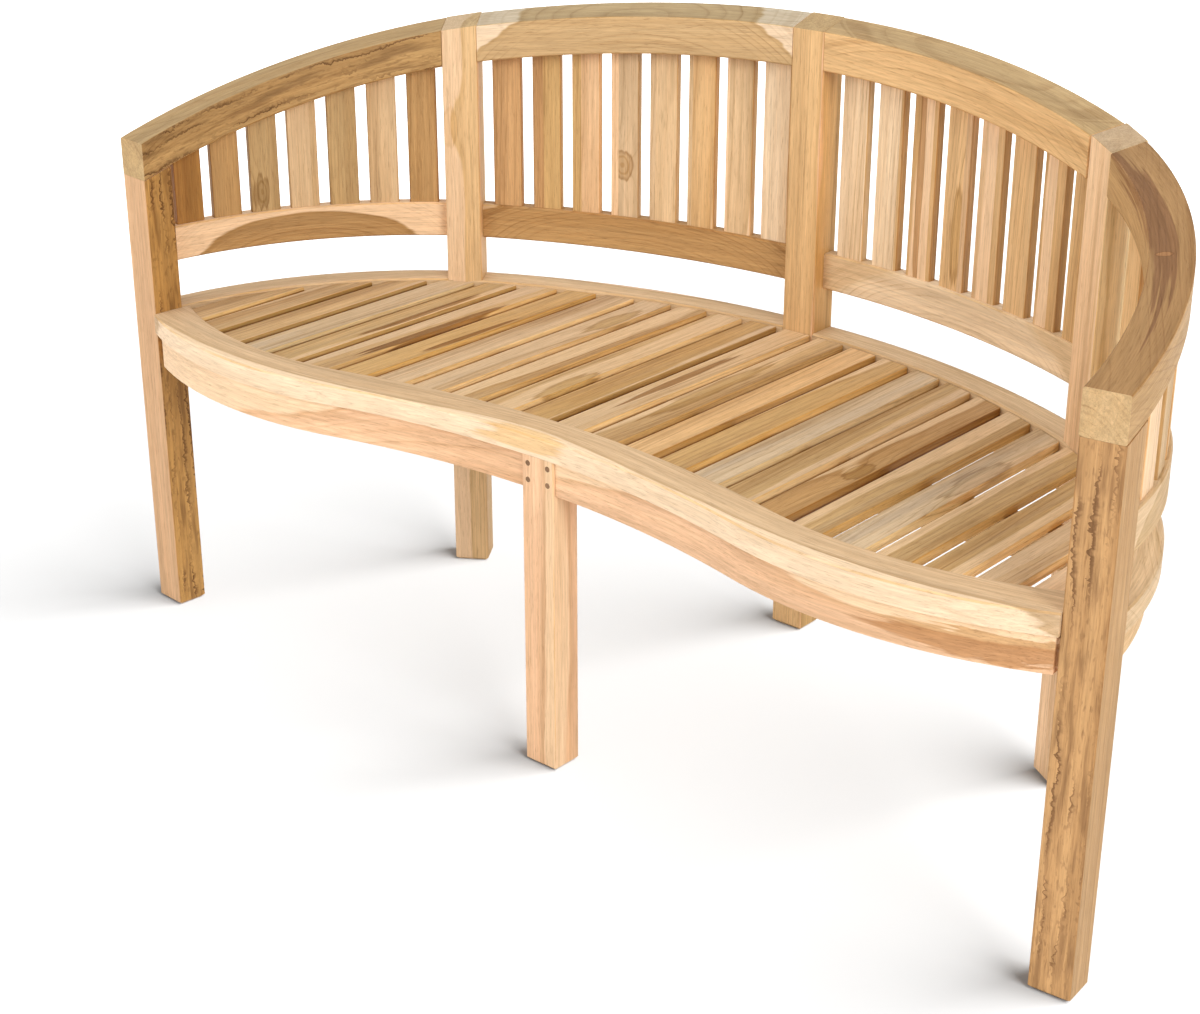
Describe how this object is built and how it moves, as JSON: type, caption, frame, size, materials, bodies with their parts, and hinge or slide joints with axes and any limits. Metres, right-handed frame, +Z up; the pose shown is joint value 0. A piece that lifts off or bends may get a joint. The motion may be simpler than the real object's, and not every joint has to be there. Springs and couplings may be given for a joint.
{
  "type": "curved garden bench",
  "caption": "Slatted wooden garden bench with a round back that sweeps down into the arms and a wavy front edge to the seat.",
  "frame": {"origin": "on the floor under the middle of the bench's bounding box", "axes": "+X to the right seen from the front, +Y to the back, +Z up"},
  "size_m": [1.492, 0.617, 0.8506],
  "materials": {
    "teak": "sanded and unoiled",
    "peg_wood": "sanded end grain"
  },
  "bodies": {
    "root": {"arm_back_slats_left": "teak", "arm_back_slats_right": "teak", "arm_crest_left": "teak", "arm_crest_right": "teak", "arm_lower_rail_left": "teak", "arm_lower_rail_right": "teak", "centre_rail": "teak", "end_post_left": "teak", "end_post_right": "teak", "front_apron_left": "teak", "front_apron_right": "teak", "front_leg": "teak", "front_seat_board": "teak", "leg_pegs": "peg_wood", "rear_apron_left": "teak", "rear_apron_right": "teak", "rear_back_slats_left": "teak", "rear_back_slats_right": "teak", "rear_crest_left": "teak", "rear_crest_right": "teak", "rear_lower_rail_left": "teak", "rear_lower_rail_right": "teak", "rear_post_left": "teak", "rear_post_middle": "teak", "rear_post_right": "teak", "rear_seat_board_left": "teak", "rear_seat_board_right": "teak", "seat_slat_01": "teak", "seat_slat_02": "teak", "seat_slat_03": "teak", "seat_slat_04": "teak", "seat_slat_05": "teak", "seat_slat_06": "teak", "seat_slat_07": "teak", "seat_slat_08": "teak", "seat_slat_09": "teak", "seat_slat_10": "teak", "seat_slat_11": "teak", "seat_slat_12": "teak", "seat_slat_13": "teak", "seat_slat_14": "teak", "seat_slat_15": "teak", "seat_slat_16": "teak", "seat_slat_17": "teak", "seat_slat_18": "teak", "seat_slat_19": "teak", "seat_slat_20": "teak", "seat_slat_21": "teak", "seat_slat_22": "teak", "seat_slat_23": "teak", "seat_slat_24": "teak", "seat_slat_25": "teak", "side_apron_left": "teak", "side_apron_right": "teak", "side_seat_board_left": "teak", "side_seat_board_right": "teak", "slat_bearer_left": "teak", "slat_bearer_right": "teak"}
  },
  "joints": []
}
